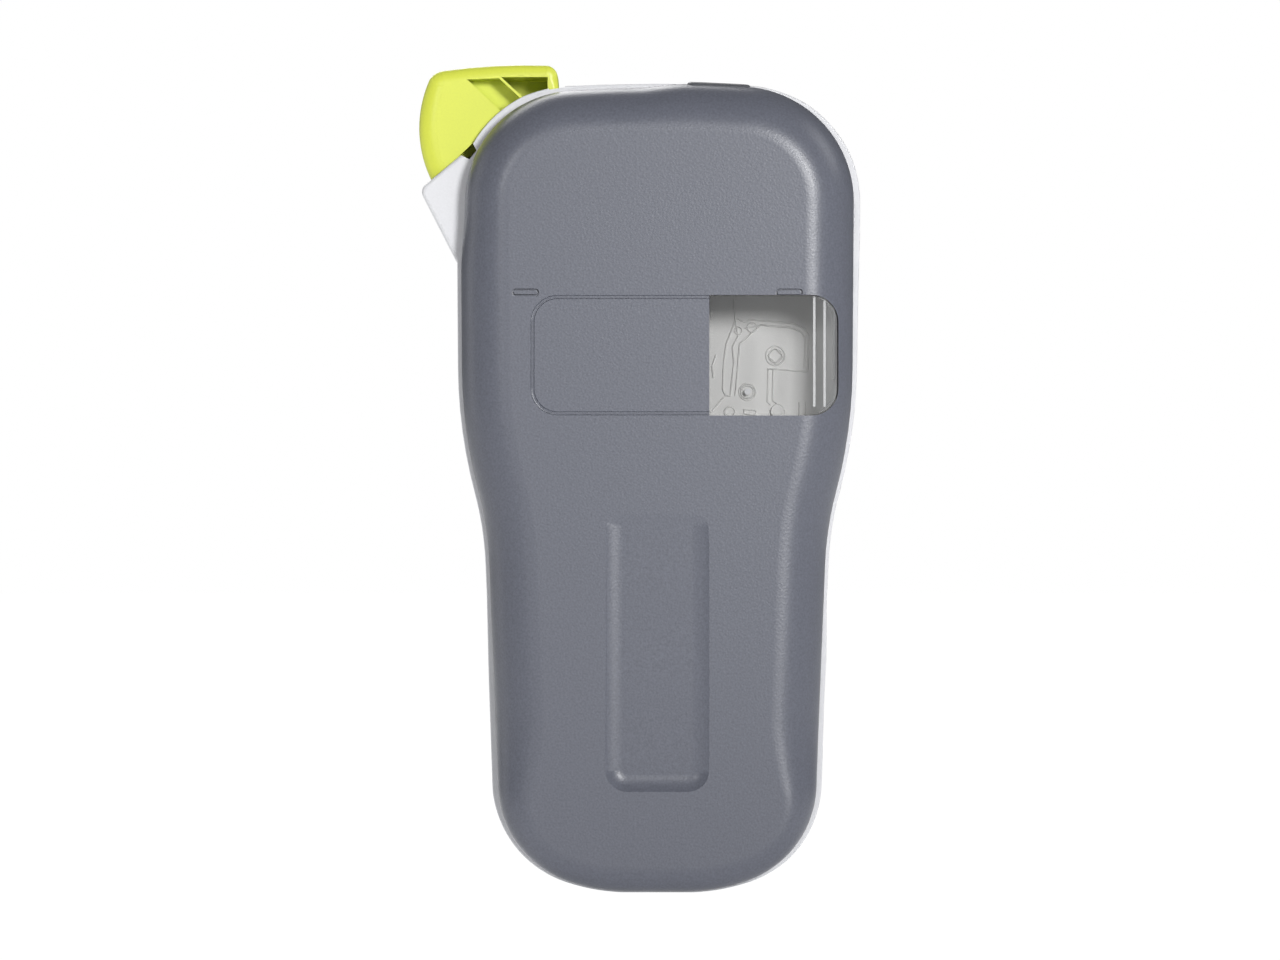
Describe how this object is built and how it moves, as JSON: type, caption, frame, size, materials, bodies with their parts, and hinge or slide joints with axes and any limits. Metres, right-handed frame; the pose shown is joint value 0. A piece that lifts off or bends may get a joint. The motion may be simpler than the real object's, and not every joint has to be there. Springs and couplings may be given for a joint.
{
  "type": "label maker",
  "caption": "Handheld label maker with a leaning keyboard, display, side cutter lever and a lift-off back cover with a window.",
  "frame": {"origin": "middle of the object's box in X and Y, at the bottom end that it stands on", "axes": "+Z runs from the grip end to the head, +Y out of the flat back cover, -Y out of the keyboard, +X to the cutter lever's side"},
  "size_m": [0.11, 0.059, 0.2071],
  "materials": {
    "white_plastic": "fine satin",
    "pale_plastic": "matt",
    "display_lens": "clear dark gloss",
    "lcd_glass": "satin",
    "keypad_rubber": "matt",
    "circuit_board": "solder resist",
    "steel": "plated",
    "battery_wrap": "printed film, left blank",
    "flex_cable": "polyimide film",
    "black_plastic": "matt",
    "grey_plastic": "fine moulded texture",
    "clear_window": "clear polycarbonate",
    "dark_grey_plastic": "fine moulded texture",
    "lime_plastic": "satin gloss",
    "aluminium": "pressed sheet",
    "head_ceramic": "glazed ceramic",
    "roller_rubber": "ground rubber",
    "brass": "hobbed",
    "grey_key": "soft matt"
  },
  "bodies": {
    "housing": {"front_housing": "white_plastic", "display_lens": "display_lens", "lcd_module": "lcd_glass", "keypad_sheet": "keypad_rubber", "main_board": "circuit_board", "inner_chassis": "pale_plastic", "battery_contacts": "steel", "batteries": "battery_wrap", "motor": "steel", "head_cable": "flex_cable", "exit_guide": "white_plastic", "lever_pin": "steel", "lever_spring": "steel", "head_spring": "steel", "dc_jack": "black_plastic", "chassis_screws": "steel", "cassette_switch": "black_plastic"},
    "back_cover": {"back_cover": "grey_plastic", "cover_window": "clear_window"},
    "cover_latch": {"cover_latch": "dark_grey_plastic"},
    "cutter_lever": {"cutter_lever": "lime_plastic"},
    "blade_carrier": {"blade_holder": "black_plastic", "cutter_blade": "steel"},
    "head_arm": {"heat_sink": "aluminium", "print_head": "head_ceramic"},
    "platen": {"platen_roller": "roller_rubber"},
    "idler": {"idler_gear": "white_plastic"},
    "pinion": {"motor_pinion": "brass"},
    "ribbon_drive": {"ribbon_spindle": "white_plastic"},
    "switch_pin": {"switch_pin": "white_plastic"},
    "direction_pad": {"direction_pad": "dark_grey_plastic"},
    "ok_key": {"ok_key": "lime_plastic"},
    "power_key": {"power_key": "dark_grey_plastic"},
    "print_key": {"print_key": "dark_grey_plastic"},
    "style_key": {"style_key": "dark_grey_plastic"},
    "size_key": {"size_key": "dark_grey_plastic"},
    "clear_key": {"clear_key": "dark_grey_plastic"},
    "enter_key": {"enter_key": "dark_grey_plastic"},
    "key_1_1": {"key_1_1": "grey_key"},
    "key_1_2": {"key_1_2": "grey_key"},
    "key_1_3": {"key_1_3": "grey_key"},
    "key_1_4": {"key_1_4": "grey_key"},
    "key_1_5": {"key_1_5": "grey_key"},
    "key_2_1": {"key_2_1": "grey_key"},
    "key_2_2": {"key_2_2": "grey_key"},
    "key_2_3": {"key_2_3": "grey_key"},
    "key_2_4": {"key_2_4": "grey_key"},
    "key_2_5": {"key_2_5": "grey_key"},
    "key_3_1": {"key_3_1": "grey_key"},
    "key_3_2": {"key_3_2": "grey_key"},
    "key_3_3": {"key_3_3": "grey_key"},
    "key_3_4": {"key_3_4": "grey_key"},
    "key_3_5": {"key_3_5": "grey_key"},
    "key_4_1": {"key_4_1": "grey_key"},
    "key_4_2": {"key_4_2": "grey_key"},
    "key_4_3": {"key_4_3": "grey_key"},
    "key_4_4": {"key_4_4": "grey_key"},
    "key_4_5": {"key_4_5": "grey_key"}
  },
  "joints": [
    {"name": "lever_press", "type": "hinge", "parent": "housing", "child": "cutter_lever", "pos_m": [0.02135, 0, 0.1975], "axis": [0, 1, 0], "range_deg": [0, 8], "stiffness_Nm_per_rad": 1.2, "springref_deg": -2.86},
    {"name": "blade_slide", "type": "slide", "parent": "housing", "child": "blade_carrier", "axis": [-0.4131, 0, -0.9107], "range_m": [0, 0.0049]},
    {"name": "cover_release", "type": "slide", "parent": "housing", "child": "back_cover", "axis": [0, 1, 0], "range_m": [0, 0.05]},
    {"name": "latch_press", "type": "slide", "parent": "back_cover", "child": "cover_latch", "axis": [0, 0, -1], "range_m": [0, 0.0014], "stiffness_N_per_m": 500, "springref_m": -0.001},
    {"name": "head_lift", "type": "hinge", "parent": "housing", "child": "head_arm", "pos_m": [0.02313, 0, 0.18376], "axis": [0, 1, 0], "range_deg": [-4, 0], "stiffness_Nm_per_rad": 0.6, "springref_deg": 2.86},
    {"name": "idler_spin", "type": "hinge", "parent": "housing", "child": "idler", "pos_m": [0.02537, 0, 0.1588], "axis": [0, 1, 0], "continuous": true},
    {"name": "pinion_spin", "type": "hinge", "parent": "housing", "child": "pinion", "pos_m": [0.03386, 0, 0.15032], "axis": [0, 1, 0], "continuous": true},
    {"name": "platen_spin", "type": "hinge", "parent": "housing", "child": "platen", "pos_m": [0.03104, 0, 0.17117], "axis": [0, 1, 0], "continuous": true},
    {"name": "ribbon_spin", "type": "hinge", "parent": "housing", "child": "ribbon_drive", "pos_m": [0.00816, 0, 0.15514], "axis": [0, 1, 0], "continuous": true},
    {"name": "switch_press", "type": "slide", "parent": "housing", "child": "switch_pin", "axis": [0, -1, 0], "range_m": [0, 0.0012], "stiffness_N_per_m": 150, "springref_m": -0.001},
    {"name": "direction_pad_press", "type": "slide", "parent": "housing", "child": "direction_pad", "axis": [0, 0.9971, 0.0767], "range_m": [0, 0.001], "stiffness_N_per_m": 600, "springref_m": -0.0008},
    {"name": "ok_key_press", "type": "slide", "parent": "housing", "child": "ok_key", "axis": [0, 0.9971, 0.0767], "range_m": [0, 0.001], "stiffness_N_per_m": 600, "springref_m": -0.0008},
    {"name": "power_key_press", "type": "slide", "parent": "housing", "child": "power_key", "axis": [0, 0.9971, 0.0767], "range_m": [0, 0.001], "stiffness_N_per_m": 600, "springref_m": -0.0008},
    {"name": "print_key_press", "type": "slide", "parent": "housing", "child": "print_key", "axis": [0, 0.9971, 0.0767], "range_m": [0, 0.001], "stiffness_N_per_m": 600, "springref_m": -0.0008},
    {"name": "style_key_press", "type": "slide", "parent": "housing", "child": "style_key", "axis": [0, 0.9971, 0.0767], "range_m": [0, 0.001], "stiffness_N_per_m": 600, "springref_m": -0.0008},
    {"name": "size_key_press", "type": "slide", "parent": "housing", "child": "size_key", "axis": [0, 0.9971, 0.0767], "range_m": [0, 0.001], "stiffness_N_per_m": 600, "springref_m": -0.0008},
    {"name": "clear_key_press", "type": "slide", "parent": "housing", "child": "clear_key", "axis": [0, 0.9971, 0.0767], "range_m": [0, 0.001], "stiffness_N_per_m": 600, "springref_m": -0.0008},
    {"name": "enter_key_press", "type": "slide", "parent": "housing", "child": "enter_key", "axis": [0, 0.9971, 0.0767], "range_m": [0, 0.001], "stiffness_N_per_m": 600, "springref_m": -0.0008},
    {"name": "key_1_1_press", "type": "slide", "parent": "housing", "child": "key_1_1", "axis": [0, 0.9971, 0.0767], "range_m": [0, 0.001], "stiffness_N_per_m": 600, "springref_m": -0.0008},
    {"name": "key_1_2_press", "type": "slide", "parent": "housing", "child": "key_1_2", "axis": [0, 0.9971, 0.0767], "range_m": [0, 0.001], "stiffness_N_per_m": 600, "springref_m": -0.0008},
    {"name": "key_1_3_press", "type": "slide", "parent": "housing", "child": "key_1_3", "axis": [0, 0.9971, 0.0767], "range_m": [0, 0.001], "stiffness_N_per_m": 600, "springref_m": -0.0008},
    {"name": "key_1_4_press", "type": "slide", "parent": "housing", "child": "key_1_4", "axis": [0, 0.9971, 0.0767], "range_m": [0, 0.001], "stiffness_N_per_m": 600, "springref_m": -0.0008},
    {"name": "key_1_5_press", "type": "slide", "parent": "housing", "child": "key_1_5", "axis": [0, 0.9971, 0.0767], "range_m": [0, 0.001], "stiffness_N_per_m": 600, "springref_m": -0.0008},
    {"name": "key_2_1_press", "type": "slide", "parent": "housing", "child": "key_2_1", "axis": [0, 0.9971, 0.0767], "range_m": [0, 0.001], "stiffness_N_per_m": 600, "springref_m": -0.0008},
    {"name": "key_2_2_press", "type": "slide", "parent": "housing", "child": "key_2_2", "axis": [0, 0.9971, 0.0767], "range_m": [0, 0.001], "stiffness_N_per_m": 600, "springref_m": -0.0008},
    {"name": "key_2_3_press", "type": "slide", "parent": "housing", "child": "key_2_3", "axis": [0, 0.9971, 0.0767], "range_m": [0, 0.001], "stiffness_N_per_m": 600, "springref_m": -0.0008},
    {"name": "key_2_4_press", "type": "slide", "parent": "housing", "child": "key_2_4", "axis": [0, 0.9971, 0.0767], "range_m": [0, 0.001], "stiffness_N_per_m": 600, "springref_m": -0.0008},
    {"name": "key_2_5_press", "type": "slide", "parent": "housing", "child": "key_2_5", "axis": [0, 0.9971, 0.0767], "range_m": [0, 0.001], "stiffness_N_per_m": 600, "springref_m": -0.0008},
    {"name": "key_3_1_press", "type": "slide", "parent": "housing", "child": "key_3_1", "axis": [0, 0.9971, 0.0767], "range_m": [0, 0.001], "stiffness_N_per_m": 600, "springref_m": -0.0008},
    {"name": "key_3_2_press", "type": "slide", "parent": "housing", "child": "key_3_2", "axis": [0, 0.9971, 0.0767], "range_m": [0, 0.001], "stiffness_N_per_m": 600, "springref_m": -0.0008},
    {"name": "key_3_3_press", "type": "slide", "parent": "housing", "child": "key_3_3", "axis": [0, 0.9971, 0.0767], "range_m": [0, 0.001], "stiffness_N_per_m": 600, "springref_m": -0.0008},
    {"name": "key_3_4_press", "type": "slide", "parent": "housing", "child": "key_3_4", "axis": [0, 0.9971, 0.0767], "range_m": [0, 0.001], "stiffness_N_per_m": 600, "springref_m": -0.0008},
    {"name": "key_3_5_press", "type": "slide", "parent": "housing", "child": "key_3_5", "axis": [0, 0.9971, 0.0767], "range_m": [0, 0.001], "stiffness_N_per_m": 600, "springref_m": -0.0008},
    {"name": "key_4_1_press", "type": "slide", "parent": "housing", "child": "key_4_1", "axis": [0, 0.9971, 0.0767], "range_m": [0, 0.001], "stiffness_N_per_m": 600, "springref_m": -0.0008},
    {"name": "key_4_2_press", "type": "slide", "parent": "housing", "child": "key_4_2", "axis": [0, 0.9971, 0.0767], "range_m": [0, 0.001], "stiffness_N_per_m": 600, "springref_m": -0.0008},
    {"name": "key_4_3_press", "type": "slide", "parent": "housing", "child": "key_4_3", "axis": [0, 0.9971, 0.0767], "range_m": [0, 0.001], "stiffness_N_per_m": 600, "springref_m": -0.0008},
    {"name": "key_4_4_press", "type": "slide", "parent": "housing", "child": "key_4_4", "axis": [0, 0.9971, 0.0767], "range_m": [0, 0.001], "stiffness_N_per_m": 600, "springref_m": -0.0008},
    {"name": "key_4_5_press", "type": "slide", "parent": "housing", "child": "key_4_5", "axis": [0, 0.9971, 0.0767], "range_m": [0, 0.001], "stiffness_N_per_m": 600, "springref_m": -0.0008}
  ],
  "couplings": [
    {"joint": "blade_slide", "follows": "lever_press", "m_per_rad": 0.034},
    {"joint": "pinion_spin", "follows": "idler_spin", "ratio": -2},
    {"joint": "platen_spin", "follows": "idler_spin", "ratio": -1.4286},
    {"joint": "ribbon_spin", "follows": "idler_spin", "ratio": -0.83333}
  ]
}
